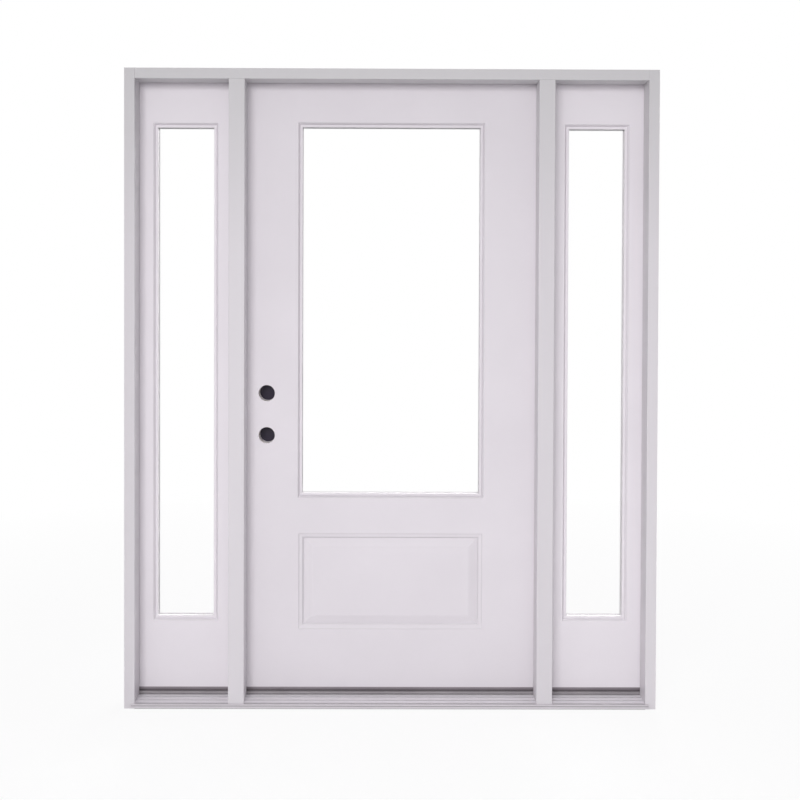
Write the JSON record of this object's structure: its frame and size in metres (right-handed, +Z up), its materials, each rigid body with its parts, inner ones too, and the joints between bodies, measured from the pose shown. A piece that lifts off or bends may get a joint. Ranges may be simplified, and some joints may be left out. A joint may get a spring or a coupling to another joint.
{
  "type": "door with sidelights",
  "caption": "White entry door that swings inward between two fixed glazed sidelights, with a tall lite over a raised panel, bored for locks, in a rabbeted frame on a ribbed sill.",
  "frame": {"origin": "on the floor under the sill, on the centre line of the unit and midway through the depth of its frame", "axes": "+X to the right seen from outside, +Y into the building, +Z up"},
  "size_m": [1.735, 0.138, 2.084],
  "materials": {
    "frame_white": "primed and painted, satin",
    "slab_white": "moulded skin, satin white",
    "stile_wood": "bare laminated wood",
    "foam": "rigid foam",
    "sill_metal": "extruded, plain finish",
    "sill_composite": "moulded composite",
    "cap_composite": "moulded composite",
    "seal_pale": "foam bulb in a smooth skin",
    "seal_black": "matt black",
    "cover_black": "matt black",
    "clear_glass": "clear",
    "spacer_metal": "rolled",
    "hinge_metal": "satin"
  },
  "bodies": {
    "frame": {"left_jamb": "frame_white", "right_jamb": "frame_white", "head_jamb": "frame_white", "left_mullion": "frame_white", "right_mullion": "frame_white", "left_sidelight_slab": "slab_white", "right_sidelight_slab": "slab_white", "left_sidelight_bead": "slab_white", "right_sidelight_bead": "slab_white", "sill_deck": "sill_metal", "sill_base": "sill_composite", "threshold_cap": "cap_composite", "left_sill_cap": "cap_composite", "right_sill_cap": "cap_composite", "door_weatherstrip": "seal_pale", "left_sidelight_weatherstrip": "seal_pale", "right_sidelight_weatherstrip": "seal_pale", "left_sidelight_bed": "seal_black", "right_sidelight_bed": "seal_black", "left_sidelight_glass": "clear_glass", "right_sidelight_glass": "clear_glass", "left_sidelight_spacer": "spacer_metal", "right_sidelight_spacer": "spacer_metal", "frame_hinge_leaves": "hinge_metal", "hinge_pins": "hinge_metal"},
    "leaf": {"door_outer_skin": "slab_white", "door_inner_skin": "slab_white", "door_lock_stile": "stile_wood", "door_hinge_stile": "stile_wood", "door_top_rail": "stile_wood", "door_bottom_rail": "stile_wood", "door_lock_block": "stile_wood", "door_core": "foam", "door_glass": "clear_glass", "door_spacer": "spacer_metal", "door_bead": "slab_white", "door_sweep": "seal_black", "bore_covers": "cover_black", "door_hinge_leaves": "hinge_metal"}
  },
  "joints": [
    {"name": "door_swing", "type": "hinge", "parent": "frame", "child": "leaf", "pos_m": [0.485, 0.067, 0], "axis": [0, 0, -1], "range_deg": [0, 120]}
  ]
}
